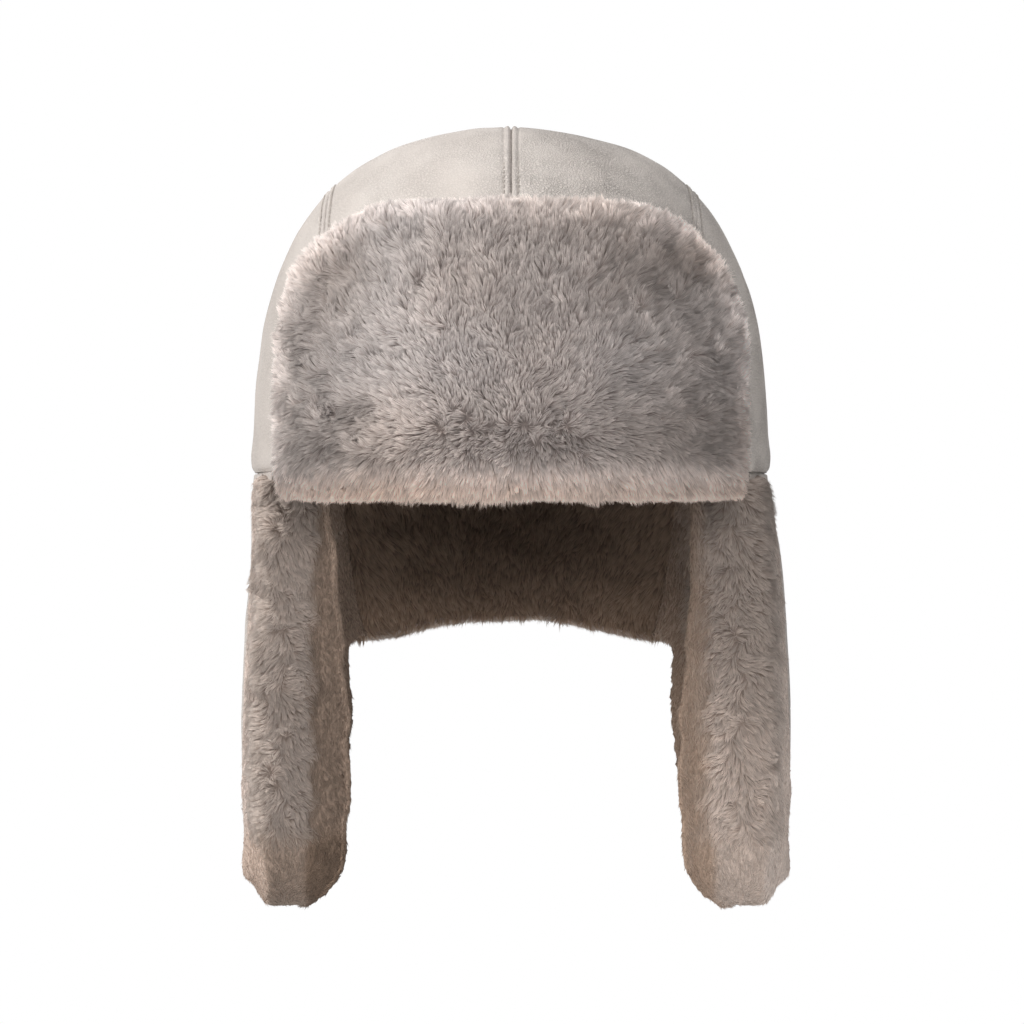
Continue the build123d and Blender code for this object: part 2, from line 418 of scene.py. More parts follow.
def tape_material():
    """Plain-woven cotton tape: crossing yarns, with slubs."""
    material, tree, shader = new_material("woven_tape")
    place = object_place(tree)
    yarns = []
    for direction in ("X", "Z"):
        yarn = tree.nodes.new("ShaderNodeTexWave")
        yarn.bands_direction = direction
        yarn.inputs["Scale"].default_value = BAND_PITCH / YARN_PITCH
        yarn.inputs["Distortion"].default_value = 0.6
        yarn.inputs["Detail Scale"].default_value = 2.0
        tree.links.new(place, yarn.inputs["Vector"])
        yarns.append(yarn.outputs["Fac"])
    weave = calculated(tree, "MAXIMUM", *yarns)
    slubs = noise(tree, place, 3 * MM, 3).outputs["Fac"]
    cotton = coloured(tree, weave, (0.1, (0.36, 0.33, 0.29)), (0.9, (0.60, 0.56, 0.50)))
    shades = coloured(tree, slubs, (0.3, 0.86), (0.7, (1.05, 1.04, 1.02)))
    feed(tree, shader.inputs["Base Color"], mixed(tree, "MULTIPLY", 1.0, cotton, shades))
    feed(tree, shader.inputs["Roughness"], coloured(tree, slubs, (0.3, 0.8), (0.7, 0.95)))
    feed(tree, shader.inputs["Normal"], bumped(tree, weave, 0.2 * MM))
    return material


LEATHER = leather_material()
THREAD = thread_material()
TAPE = tape_material()
PILE_COLOURS_WITH_PAINTED_LIGHT = {  # at a strand's root, middle and tip. Darker roots are partly the wool's own colour and partly painted shade in the gaps deep in the pile.
    "visor": ((0.24, 0.20, 0.185), (0.46, 0.405, 0.385), (0.84, 0.775, 0.75)),
    # the visor's wool painted paler: painted light for the light the flaps lack
    "flap": ((0.30, 0.25, 0.225), (0.55, 0.485, 0.45), (0.86, 0.795, 0.76)),
    # the same wool painted dark brown: painted shade inside the crown
    "lining": ((0.10, 0.072, 0.055), (0.17, 0.125, 0.095), (0.26, 0.20, 0.16)),
}
PILE, COAT = {}, {}
for kind, stages in PILE_COLOURS_WITH_PAINTED_LIGHT.items():
    PILE[kind] = fur_material(f"{kind}_pile", *stages)
    COAT[kind] = fur_material(f"{kind}_undercoat", *stages, coat=True)


# ================================================================ crown
def dome(x, y):
    """Points of the crown's dome above these places, and its outward normals."""
    reach = np.sqrt(x**2 + (y / LENGTHEN) ** 2)
    share = np.clip(reach / CROWN_HALF_WIDTH, 0, 1)
    z = CROWN_HEIGHT * (1 - share**CROWN_ROUNDNESS) ** (1 / CROWN_ROUNDNESS)
    return np.stack([x, y, z], axis=-1), dome_normals(x, y, z)


def dome_normals(x, y, z):
    """Outward normals of the dome at its own points."""
    reach = np.maximum(np.sqrt(x**2 + (y / LENGTHEN) ** 2), 1e-6)
    flat = (reach / CROWN_HALF_WIDTH) ** (CROWN_ROUNDNESS - 2) / CROWN_HALF_WIDTH**2
    rise = (z / CROWN_HEIGHT) ** (CROWN_ROUNDNESS - 1) / CROWN_HEIGHT
    normal = np.stack([flat * x, flat * y / LENGTHEN**2, rise], axis=-1)
    return normal / np.linalg.norm(normal, axis=-1, keepdims=True)


def over_the_top(x, turn):
    """Dome points on the upright plane at x; turn runs from 0 at the front edge to pi at the back."""
    return dome(x, -LENGTHEN * np.sqrt(CROWN_HALF_WIDTH**2 - x**2) * np.cos(turn))


FINE_STEPS = 4001  # along a curve that is measured before it is divided evenly


def even_turns(rows):
    """Turns that space rows evenly from the front edge, over the top, to the back edge."""
    fine = (1 - np.cos(np.linspace(0, math.pi, FINE_STEPS))) * math.pi / 2
    points = over_the_top(np.full(FINE_STEPS, SIDE_SEAM_X / 2), fine)[0]
    run = running_length(points)
    return np.interp(np.linspace(0, run[-1], rows), run, fine)


# places of mesh lines beside a seam and above the hem, close together where the leather bends
SEAM_STEPS = np.array([0, 0.35, 0.7, 1.1, 1.6, 2.2, 2.7, 3.1, 3.6, 4.4, 6.0, 9.0]) * MM
HEM_STEPS = np.array([0, 0.5, 1, 1.6, 2.4, 3.4, 5, 7]) * MM
STITCH_OFFSET = 3.0 * MM
STITCH_PITCH = 3.1 * MM
THREAD_RADIUS = 0.28 * MM
THREAD_SINK, THREAD_RISE = 0.12 * MM, 0.34 * MM  # into the leather at its ends, and up in its middle
# heights and widths across a seam, in millimetres
GROOVE_DEPTH, GROOVE_WIDTH = 1.3, 0.5
LAP_HEIGHT, LAP_PUCKER, LAP_PLACE, LAP_WIDTH = 0.42, 0.16, 1.5, 0.85
DENT_DEPTH, DENT_WIDTH = 0.5, 0.45
PUCKER_PITCH = 2.6 * MM  # along a seam's lap
TOP_ROWS, TOP_COLUMNS, SIDE_COLUMNS = 230, 30, 64
SEAM_PLANES = (0.0, SIDE_SEAM_X, -SIDE_SEAM_X)


def slope_across(normal):
    """How much a step along X shrinks on the leather, kept above zero."""
    return np.sqrt(np.maximum(1 - normal[:, 0] ** 2, 0.02))


def seam_relief(distance, run):
    """Height of the leather near a seam: a groove, a puckered lap, then a dent under the thread."""
    d = distance / MM
    groove = -GROOVE_DEPTH * bell(d, GROOVE_WIDTH)
    lap = LAP_HEIGHT + LAP_PUCKER * np.sin(run / PUCKER_PITCH * 2 * math.pi)
    lap = lap * bell(d - LAP_PLACE, LAP_WIDTH)
    dent = -DENT_DEPTH * bell(d - STITCH_OFFSET / MM, DENT_WIDTH)
    return (groove + lap + dent) * MM


def crown_panel(name, base, normal, rows, columns):
    """A panel of the crown from a grid of its points, with seams, creases and a turned edge.

    Heights are in millimetres until they are added up.
    """
    base, normal = base.reshape(-1, 3), normal.reshape(-1, 3)
    slope = slope_across(normal)
    near = np.min([np.abs(base[:, 0] - x) / slope for x in SEAM_PLANES], axis=0)
    folds = 0.9 * smooth_noise(base * [1, 1, 0.6], 34 * MM, 11) + 0.4 * smooth_noise(base, 13 * MM, 17)
    pucker = 0.2 * smooth_noise(base, 4 * MM, 5) * bell(near - 4 * MM, 4 * MM)
    hem = 0.9 * bell(base[:, 2] - 7 * MM, 6 * MM) - 1.1 * bell(base[:, 2], 1.3 * MM)
    ridge = 1.5 * bell(base[:, 0], 24 * MM) * ramp(normal[:, 2], 0.7, 0.95)
    out = MM * (folds * ramp(near, 0, 14 * MM) + ridge + pucker + hem)
    out = out + seam_relief(near, base[:, 1] + base[:, 2])
    outer = base + normal * out[:, None]
    inner = base + normal * (0.4 * np.minimum(out, 0) - SKIN)[:, None]
    return shell_between(name, outer, inner, rows, columns, LEATHER, "crown")


def shares_between(count):
    """This many shares between 0 and 1, evenly spaced."""
    return np.linspace(0, 1, count + 2)[1:-1]


def make_top_panel(side, sign, fine_columns=161):
    """The strip from the middle seam to a side seam, from the front edge over to the back."""
    turns = even_turns(TOP_ROWS)[:, None]
    fine = np.linspace(0, SIDE_SEAM_X, fine_columns)[None, :]
    points = over_the_top(np.repeat(fine, TOP_ROWS, 0), np.repeat(turns, fine_columns, 1))[0]
    run = np.linalg.norm(np.diff(points, axis=1), axis=2).cumsum(axis=1)
    run = np.concatenate([np.zeros((TOP_ROWS, 1)), run], axis=1)
    x = []
    for line in run:
        width = line[-1]
        middle = SEAM_STEPS[-1] + (width - 2 * SEAM_STEPS[-1]) * shares_between(TOP_COLUMNS)
        places = np.concatenate([SEAM_STEPS, middle, width - SEAM_STEPS[::-1]])
        x.append(np.interp(places, line, fine[0]))
    x = np.array(x)
    base, normal = over_the_top(x, np.repeat(turns, x.shape[1], 1))
    mirrored_panel(f"crown_leather_top_{side}", base, normal, sign, f"crown_skin_top_{side}")


def make_side_panel(side, sign, seam_steps=2001):
    """The D-shaped panel outside a side seam: a square grid rounded to fit the seam's curve."""
    seam = over_the_top(np.full(seam_steps, SIDE_SEAM_X), np.linspace(0, math.pi, seam_steps))[0]
    half_length, height = seam[:, 1].max(), seam[:, 2].max()
    turn = np.arctan2(seam[:, 2] / height, -seam[:, 1] / half_length)
    reach = np.hypot(seam[:, 2] / height, seam[:, 1] / half_length)
    inner = shares_between(SIDE_COLUMNS)
    near = SEAM_STEPS / half_length
    u = np.concatenate([near, near[-1] + (2 - 2 * near[-1]) * inner, 2 - near[::-1]]) - 1
    near = SEAM_STEPS / height
    hem = HEM_STEPS / height
    v = np.concatenate([hem, hem[-1] + (1 - near[-1] - hem[-1]) * inner[::2], 1 - near[::-1]])
    v, u = np.meshgrid(v, u, indexing="ij")
    p, q = -u * np.sqrt(1 - v**2 / 2), v * np.sqrt(1 - u**2 / 2)
    angle = np.arctan2(q, p)
    far = np.hypot(p, q) * np.interp(angle, turn, reach)
    y, z = -far * np.cos(angle) * half_length, far * np.sin(angle) * height
    level = np.clip(z / CROWN_HEIGHT, 0, 1)
    width = CROWN_HALF_WIDTH * (1 - level**CROWN_ROUNDNESS) ** (1 / CROWN_ROUNDNESS)
    x = np.sqrt(np.maximum(width**2 - (y / LENGTHEN) ** 2, SIDE_SEAM_X**2))
    base, normal = np.stack([x, y, z], axis=-1), dome_normals(x, y, z)
    mirrored_panel(f"crown_leather_side_{side}", base, normal, sign, f"crown_skin_side_{side}")


def mirrored_panel(name, base, normal, sign, node):
    """Builds a panel given for the wearer's left on the side asked for."""
    mirror = np.array([sign, 1, 1])
    if sign < 0:
        base, normal = base[:, ::-1], normal[:, ::-1]
    piece = crown_panel(name, base * mirror, normal * mirror, *base.shape[:2])
    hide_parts(node)


def shell_between(name, outer, inner, rows, columns, material, body):
    """Closed piece between two grids of rows by columns points."""
    count = rows * columns
    index = np.arange(count).reshape(rows, columns)
    a, b, c, d = index[:-1, :-1], index[:-1, 1:], index[1:, 1:], index[1:, :-1]
    front = np.stack([a, b, c, d], axis=-1).reshape(-1, 4)
    back = front[:, ::-1] + count
    rim = np.concatenate([index[0, :], index[1:, -1], index[-1, -2::-1], index[-2:0:-1, 0]])
    follow = np.roll(rim, -1)
    side = np.stack([rim, rim + count, follow + count, follow], axis=-1)
    faces = np.concatenate([front, back, side])
    return new_mesh(name, np.concatenate([outer, inner]), faces, material, body)


def along_path(places, run, values):
    """A path's points or normals at these distances along it."""
    return np.stack([np.interp(places, run, values[:, k]) for k in range(3)], axis=1)


def stitches(name, paths, body, ring=6, steps=5):
    """Rows of short stitches that dip in and out of the leather. A path is (points, normals)."""
    turn = (2 * math.pi * np.arange(ring) / ring)[None, :, None]
    lift = np.sin(np.linspace(0.0, 1.0, steps) * math.pi) ** 0.5
    size = THREAD_RADIUS * (0.35 + 0.65 * lift)
    all_points, all_faces, count = [], [], 0
    for points, normals in paths:
        run = running_length(points)
        for stitch in range(int(run[-1] / STITCH_PITCH)):
            places = (stitch + 0.12) * STITCH_PITCH + np.linspace(0, 0.76 * STITCH_PITCH, steps)
            normal = unit(along_path(places, run, normals))
            centre = along_path(places, run, points)
            centre = centre + normal * (THREAD_RISE * lift - THREAD_SINK)[:, None]
            forward = unit(np.gradient(centre, axis=0))
            across = unit(np.cross(forward, normal))
            up = np.cross(across, forward)
            circle = across[:, None, :] * np.cos(turn) + up[:, None, :] * np.sin(turn)
            circle = circle * size[:, None, None]
            all_points.append((centre[:, None, :] + circle).reshape(-1, 3))
            index = count + np.arange(steps * ring).reshape(steps, ring)
            follow = np.roll(index, -1, axis=1)
            tube = np.stack([index[:-1], follow[:-1], follow[1:], index[1:]], axis=-1).reshape(-1, 4)
            first, last = index[0], index[-1]
            caps = [first[[3, 2, 1, 0]], first[[0, 5, 4, 3]], last[[0, 1, 2, 3]], last[[3, 4, 5, 0]]]
            all_faces += [tube, np.array(caps)]
            count += steps * ring
    new_mesh(name, np.concatenate(all_points), np.concatenate(all_faces), THREAD, body)


def seam_paths(steps=700, unsewn=14):
    """A row of stitches on each side of each seam, from near the front edge over to near the back."""
    turns = even_turns(steps)[unsewn:-unsewn]
    paths = []
    for plane in SEAM_PLANES:
        for side in (-1, 1):
            normal = over_the_top(np.full(len(turns), plane), turns)[1]
            x = plane + side * STITCH_OFFSET * slope_across(normal)
            paths.append(over_the_top(x, turns))
    return paths


def make_crown():
    """Four leather panels and their topstitching."""
    for side, sign in SIDES.items():
        make_top_panel(side, sign)
        make_side_panel(side, sign)
    stitches("crown_topstitching", seam_paths(), "crown")


# ================================================================ leather panels of the flaps
LEATHER_VOXEL = 0.9 * MM
LEATHER_THINNING = 0.4  # share of the faces that is kept


def leather_panel(name, node, body, creases, drift=None):
    """A CAD skin made soft: evenly meshed, edges rounded, with creases of this height."""
    skin = even_copy(
        name, [node], LEATHER, body, LEATHER_VOXEL,
        smoothing=0.5, rounds=3, thin_out=LEATHER_THINNING,
    )
    base = coordinates(skin.data)
    moved = 0.7 * smooth_noise(base * [1, 1, 0.55], 30 * MM, 3) + 0.3 * smooth_noise(base, 11 * MM, 4)
    outward = unit(base * [1, 1, 0])
    shift = 0 if drift is None else drift(base)
    set_coordinates(skin.data, base + shift + outward * (creases * (moved - 0.35))[:, None])
    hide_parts(node)


# ================================================================ wool
COAT_TONE = (0.25, 0.5)  # how far along a strand the coat's colour lies, and its shade


def pile_body(
    name, nodes, skin, body, kind, inset, tone,
    rounding=10, voxel=2.6 * MM, shape=None, drift=None, lumpy=1.0,
):
    """The dense part of a pile: the CAD pile made round, and drawn in to leave room for strands.

    inset, shape and tone give each point's depth, extra move and colour, with any painted light and
    shade, and drift how it hangs.
    Returns the coat, and 0 to 1 for each of its points: how free it is of the skin behind it.
    """
    coat = even_copy(name, nodes, COAT[kind], body, voxel, smoothing=0.6, rounds=rounding)
    base, normal = coordinates(coat.data), vertex_normals(coat.data)
    free = ramp(distances(base, node_tree(*skin)), 1.5 * MM, 9 * MM)
    lumps = lumpy * MM * (0.8 * smooth_noise(base, 11 * MM, 21) + 0.45 * smooth_noise(base, 4.5 * MM, 22))
    moved = base + normal * (free * (lumps - inset(base, normal)))[:, None]
    if shape is not None:
        moved = moved + shape(base, normal) * free[:, None]
    if drift is not None:
        moved = moved + drift(base)
    set_coordinates(coat.data, moved)
    along, shade = (np.full(len(moved), value) for value in COAT_TONE)
    paint(coat, along, shade, *tone(moved, normal))
    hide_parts(*nodes)
    return coat, free


def paint(piece, along, shade, tone, warmth):
    """Store what the pile's material needs, per point."""
    colours = np.stack([np.broadcast_to(c, len(along)) for c in (along, shade, tone, warmth)], axis=1)
    attribute = piece.data.color_attributes.new("strand", "FLOAT_COLOR", "POINT")
    attribute.data.foreach_set("color", np.clip(colours, 0, 1).astype(np.float32).ravel())


STRAND_FOOT = 1.2 * MM  # each strand starts this deep in its coat


def strand_roots(rng, coat, free, count, keep):
    """Random places on a coat, with their normals, by area, freedom and what keep gives."""
    corners = triangles_of(coat.data)
    points, normals = coordinates(coat.data), vertex_normals(coat.data)
    a, b, c = (points[corners[:, k]] for k in range(3))
    chance = np.linalg.norm(np.cross(b - a, c - a), axis=1) * free[corners].mean(axis=1)
    if keep is not None:
        chance = chance * keep((a + b + c) / 3, unit(normals[corners].sum(axis=1)))
    picked = rng.choice(len(corners), size=count, p=chance / chance.sum())
    u, v = rng.random(count), rng.random(count)
    u, v = np.where(u + v > 1, 1 - u, u), np.where(u + v > 1, 1 - v, v)
    shares = np.stack([1 - u - v, u, v], axis=1)
    root = (points[corners[picked]] * shares[:, :, None]).sum(axis=1)
    normal = unit((normals[corners[picked]] * shares[:, :, None]).sum(axis=1))
    return root, normal


def strands(
    name, coat, free, count, comb, tone, width, kind, body, seed,
    keep=None, clump=7, variety=1.0,
):
    """Tapered strands rooted in a coat, drawn together in wisps of about clump strands.

    comb(points, normals) gives their way, lean and length, tone their spot's colour with any painted
    light and shade, and keep how many grow at a place. variety is how much their shades differ.
    """
    rng = np.random.default_rng(seed)
    root, normal = strand_roots(rng, coat, free, count, keep)
    way, lean, length = comb(root, normal)
    way = way + 0.5 * noise_vectors(root, 10 * MM, seed + 40)
    way = way + 0.4 * noise_vectors(root, 3.5 * MM, seed + 50)
    way = unit(way - normal * (way * normal).sum(axis=1, keepdims=True))
    lean = lean + 0.12 * smooth_noise(root, 6 * MM, seed + 60) + rng.normal(0, 0.09, count)
    lean = np.clip(lean, 0.0, 1.4)[:, None]
    direction = unit(normal * np.cos(lean) + way * np.sin(lean))
    share = 0.86 + 0.14 * smooth_noise(root, 7 * MM, seed + 70) + rng.normal(0, 0.1, count)
    size = length * np.clip(share, 0.4, 1.25)
    tip = root + direction * size[:, None] + rng.normal(0, 0.3 * MM, (count, 3))

    wisps = count // clump
    wisp = nearest(root, root[:wisps])
    together = rng.uniform(0.2, 0.5 + 0.02 * clump, wisps)[wisp][:, None]
    tip = tip * (1 - together) + (tip[wisp] + (root - root[wisp]) * 0.25) * together
    reach = tip - root
    far = np.linalg.norm(reach, axis=1)
    tip = root + reach * np.minimum(1, 1.25 * length / far)[:, None]

    direction = unit(tip - root)
    side = unit(np.cross(direction, normal + 0.3 * rng.normal(0, 1, (count, 3))))
    other = np.cross(direction, side)
    thick = width * rng.uniform(0.7, 1.3, count)[:, None]
    foot = root - direction * STRAND_FOOT
    back = foot - side * thick * 0.6
    corners = [foot + side * thick, back + other * thick * 0.7, back - other * thick * 0.7, tip]
    points = np.stack(corners, axis=1)
    start = 4 * np.arange(count)[:, None]
    faces = np.concatenate([start + f for f in ([0, 1, 3], [1, 2, 3], [2, 0, 3])])
    piece = new_mesh(name, points.reshape(-1, 3), faces, PILE[kind], body)
    shade = 0.5 + variety * (0.6 * rng.random(wisps)[wisp] + 0.4 * rng.random(count) - 0.5)
    spot, warmth = (np.repeat(np.broadcast_to(t, count), 4) for t in tone(root, normal))
    paint(piece, np.tile([0.0, 0.0, 0.0, 1.0], count), np.repeat(shade, 4), spot, warmth)


# ---------------------------------------------------------------- the visor's pile
VISOR_PARTING_Z = 15 * MM  # the pile fans out from this height, at its middle
VISOR_SPLIT_Z = 45 * MM  # the pile is built in an upper and a lower part
VISOR_TOP_CORNER, VISOR_LOW_CORNER = 60 * MM, 9 * MM
VISOR_STRANDS = 44000  # in each of its four parts
VISOR_STRAND_WIDTH = 0.29 * MM
VISOR_HOLLOW, VISOR_LIP = 5.0, 1.5  # depth of its hollows and fullness of its lower edge, millimetres
LEVELS = {"upper": 1, "lower": -1}


def comb_visor(root, normal):
    """Parts along a level line low on the front: up above it, down below it, and out to the sides."""
    out = 0.3 * root[:, 0] + np.sign(root[:, 0]) * np.maximum(np.abs(root[:, 0]) - 30 * MM, 0)
    away = np.stack([out, np.zeros(len(root)), root[:, 2] - VISOR_PARTING_Z], axis=1)
    distance = np.linalg.norm(away, axis=1)
    front = ramp(-normal[:, 1], 0.1, 0.7)
    fringe = ramp(-root[:, 2], -9 * MM, 3 * MM)
    way = away / np.maximum(distance, 14 * MM)[:, None] + 0.8 * noise_vectors(root, 4.5 * MM, 61)
    way = way - fringe[:, None] * np.array([0, 0, 1.6])
    lean = 0.55 + 0.3 * ramp(distance, 10 * MM, 60 * MM) + 0.35 * fringe
    lean = lean + 0.2 * ramp(-root[:, 0], 20 * MM, 80 * MM)
    lean = lean * front + 0.5 * (1 - front)
    return way, lean, (3.0 + 2.6 * front + 0.7 * fringe) * MM


def visor_depth(points):
    """How far inside the visor's outline these points are, seen from the front."""
    low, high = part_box("visor_wool")
    middle = (low.z + high.z) / 2
    corner = np.where(points[:, 2] > middle, VISOR_TOP_CORNER, VISOR_LOW_CORNER)
    x = np.abs(points[:, 0]) - high.x + corner
    z = np.abs(points[:, 2] - middle) - (high.z - middle) + corner
    outside = np.hypot(np.maximum(x, 0), np.maximum(z, 0)) + np.minimum(np.maximum(x, z), 0)
    return corner - outside


def visor_tone_and_painted_light(root, normal):
    """Painted light and shade: palest along the rims and on the lower lip, where light is painted, with
    painted shade in the hollows, in the middle and on the wearer's right, and a little painted light on
    the wearer's left. Patches of its own tone; warmer low down and, as painted shade, in the hollows.
    """
    x, z = root[:, 0] / MM, root[:, 2] / MM
    rim = 1 - ramp(visor_depth(root), 6 * MM, 18 * MM)
    bottom = ramp(-z, -10, 6)
    left = blot(x, z, 62, 40, 36, 36)
    hollow = blot(x, z, 70, 82, 15, 11)
    hollow += 0.5 * blot(x, z, -74, 79, 12, 9)
    patches = smooth_noise(root, 26 * MM, 31) + 0.5 * smooth_noise(root, 9 * MM, 35)
    middle = bell(x, 45) * (1 - bottom)
    right = ramp(-x, 20, 80) * (1 - rim)
    # painted light on the rims, more on the wearer's left, and on the lower lip; painted shade in the
    # middle, on the wearer's right and in the hollows
    tone = 0.42 + (0.36 + 0.18 * ramp(x, 0, 70)) * rim + 0.42 * bottom
    tone = tone + 0.1 * left - 0.08 * middle - 0.17 * right
    tone = tone - 0.2 * hollow + 0.05 * patches
    # warmth: at random, low down, and in the hollows as painted shade
    return tone, 0.1 + 0.15 * smooth_noise(root, 30 * MM, 32) + 0.35 * ramp(-z, -4, 10) + 0.2 * hollow


def visor_hollows(base, normal):
    """Two soft hollows below the visor's upper corners, and a fuller lower edge."""
    hollow = np.zeros(len(base))
    for sign in SIDES.values():
        hollow += blot(base[:, 0], base[:, 2], sign * 72 * MM, 79 * MM, 18 * MM, 14 * MM)
    front = ramp(-normal[:, 1], 0.2, 0.8)
    lip = bell(base[:, 2] + 2 * MM, 14 * MM)
    return normal * ((-VISOR_HOLLOW * hollow + VISOR_LIP * lip) * MM * front)[:, None]


def inset_visor(base, normal):
    """Room for the strands: less at the front, and least along the lower edge."""
    return (4.0 - 0.8 * ramp(-normal[:, 1], 0.3, 0.9) - 2.4 * ramp(-normal[:, 2], 0.3, 0.8)) * MM


def make_visor():
    leather_panel("visor_leather", "visor_skin", "visor", 0.5 * MM)
    coat, free = pile_body(
        "visor_undercoat", ["visor_wool"], ["visor_skin"], "visor", "visor",
        inset_visor, visor_tone_and_painted_light, rounding=24, shape=visor_hollows,
    )
    parts = [(side, sign, level, up) for side, sign in SIDES.items() for level, up in LEVELS.items()]
    for seed, (side, sign, level, up) in enumerate(parts):

        def keep(p, n, sign=sign, up=up):
            here = (p[:, 0] * sign > 0) & ((p[:, 2] - VISOR_SPLIT_Z) * up > 0)
            return here * (0.35 + 0.65 * ramp(-n[:, 1], 0.0, 0.5))

        strands(
            f"visor_pile_{level}_{side}", coat, free, VISOR_STRANDS, comb_visor, visor_tone_and_painted_light,
            VISOR_STRAND_WIDTH, "visor", "visor", 100 + seed,
            keep=keep, clump=13, variety=1.3,
        )


# ---------------------------------------------------------------- the ear flaps' pile
FLAP_SWAY = 2.2 * MM  # the ear flaps hang this far to the wearer's left
HEM_ARCH = 9 * MM  # the nape flap's hem is this much lower at its ends than at its middle
BAND_X = 94.5  # millimetres from the hat's middle to the middle of a flap's tufted band, at its top
BAND_SPREAD = 3  # the band lies this much further out below
FLAP_REGIONS = {  # strands, their width, how many to a wisp, how much their shades differ
    "tufts": (34000, 0.25 * MM, 15, 1.0),
    "faces": (36000, 0.32 * MM, 3, 0.35),
}


def across(root):
    """How far out a point of an ear flap lies from the middle of its tufted band."""
    return np.abs(root[:, 0]) - (BAND_X + BAND_SPREAD * ramp(-root[:, 2], 10 * MM, 80 * MM)) * MM


def tufted(root, normal):
    """1 on the band down a flap's front edge where the pile stands in tufts; 0 on the smooth rest."""
    ragged = 2.5 * MM * smooth_noise(root, 7 * MM, 63)
    half_width = np.where(root[:, 0] > 0, 16 * MM, 13 * MM)
    band = np.exp(-(((across(root) + ragged) / half_width) ** 4))
    above_end = ramp(root[:, 2] + 2 * ragged, FLAP_END_Z + 26 * MM, FLAP_END_Z + 42 * MM)
    return ramp(-normal[:, 1], 0.25, 0.65) * band * above_end


def comb_flap(root, normal):
    """The tufts part outwards and inwards. The rest lies flat, hangs, and turns under the end."""
    tufts = tufted(root, normal)
    outwards = np.sign(root[:, 0]) * np.clip(across(root) / (8 * MM), -1, 1)
    end = ramp(-root[:, 2], 150 * MM, 185 * MM)
    way = np.stack([outwards * (1.1 * tufts - end), np.zeros(len(root)), -1.0 + 0.55 * tufts], axis=1)
    way = way + tufts[:, None] * 0.9 * noise_vectors(root, 5 * MM, 62)
    return way, 1.34 - 0.62 * tufts, (2.3 + 4.2 * tufts) * MM


def flap_tone_and_painted_light(sign):
    """Painted shade and light: browner and warmer inside, as painted shade, and pale outside, as painted
    light. The wearer's left flap has painted shade above and is paler below; the wearer's right flap is
    darker and warmer towards its end.
    """

    def tone(root, normal):
        tufts = tufted(root, normal)
        place = across(root)
        inner, outer = (
            np.maximum(ramp(way * sign * normal[:, 0], 0.2, 0.8), ramp(way * place, 8 * MM, 14 * MM))
            * (1 - tufts)
            for way in (-1, 1)
        )
        down = ramp(-root[:, 2], 10 * MM, 170 * MM)
        end = ramp(-root[:, 2], 146 * MM, 166 * MM)
        folds = smooth_noise(root * [1, 1, 0.35], 9 * MM, 37)
        # painted shade on the inner faces and, on the wearer's left flap, high up under the visor;
        # painted light on the outer faces
        if sign > 0:
            spot = 0.30 + 0.42 * down - 0.15 * inner + 0.18 * outer
        else:
            spot = 0.42 - 0.31 * inner + 0.55 * outer - 0.18 * end
        # soft upright streaks of painted shade on the inner faces
        spot = spot + 0.05 * smooth_noise(root, 20 * MM, 33) + 0.07 * inner * folds
        return spot, 0.3 + 0.5 * inner - 0.15 * outer + (0.35 * end if sign < 0 else 0.0)

    return tone


def hang(base):
    """How the flaps hang: the ear flaps sway to one side, and the nape's hem arches up at the back."""
    sway = FLAP_SWAY * ramp(-base[:, 2], 0, 45 * MM) * (1 - ramp(base[:, 1], 20 * MM, 57 * MM))
    arch = HEM_ARCH * ramp(np.abs(base[:, 0]), 12 * MM, 72 * MM) * ramp(base[:, 1], 30 * MM, 52 * MM)
    return np.stack([sway, np.zeros(len(base)), -arch * ramp(-base[:, 2], 30 * MM, 64 * MM)], axis=1)


def inset_flap(sign):
    """Room for the strands. The inner face is fuller, more so on the wearer's left."""
    fuller = 4.2 if sign > 0 else 2.8

    def inset(base, normal):
        inner = ramp(-sign * normal[:, 0], 0.1, 0.9)
        outer = ramp(sign * normal[:, 0], 0.1, 0.9)
        return (2.6 + 2.6 * tufted(base, normal) - fuller * inner + outer) * MM

    return inset


def round_end(base, normal):
    """The flap grows thinner towards its end."""
    taper = 0.3 * np.clip((-base[:, 2] - 155 * MM) / (35 * MM), 0, 1) ** 2
    side = -np.sign(base[:, 0]) * across(base) * taper
    still = np.zeros(len(base))
    return np.stack([side, still, still], axis=1) - normal * (3 * MM * taper)[:, None]


def make_ear_flap(side, sign):
    """Leather outside, and one coat for the wool and its turned edge, tufted along the front."""
    body = f"ear_flap_{side}"
    leather_panel(f"{body}_leather", f"{body}_skin", body, 0.9 * MM, drift=hang)
    coat, free = pile_body(
        f"{body}_undercoat", [f"{body}_wool", f"{body}_trim"], [f"{body}_skin"], body,
        "flap", inset_flap(sign), flap_tone_and_painted_light(sign), rounding=50, voxel=1.8 * MM, shape=round_end,
        drift=hang, lumpy=0.3,
    )
    kept = {"tufts": tufted, "faces": lambda p, n: 1 - 0.85 * tufted(p, n)}
    for place, (region, (count, width, clump, variety)) in enumerate(FLAP_REGIONS.items()):
        strands(
            f"{body}_{region}", coat, free, count, comb_flap, flap_tone_and_painted_light(sign), width, "flap",
            body, 200 + 10 * place + sign,
            keep=kept[region], clump=clump, variety=variety,
        )


# ---------------------------------------------------------------- nape flap and lining
def comb_down(root, normal):
    """Short pile that hangs."""
    return np.tile([0.0, 0.0, -1.0], (len(root), 1)), 1.0, np.full(len(root), 6 * MM)


def nape_painted_shade(root, normal):
    """Painted shade: dark and warm on the inside, a little less so along the hem."""
    inside = ramp(-normal[:, 1], -0.2, 0.5)
    low = ramp(-root[:, 2], 40 * MM, 66 * MM)
    return 0.45 - inside * (0.39 - 0.11 * low), 0.4 + 0.6 * inside


def comb_lining(root, normal):
    """Longer pile that leans up and back."""
    return np.tile([0.0, 0.5, 0.6], (len(root), 1)), 0.6, np.full(len(root), 8 * MM)


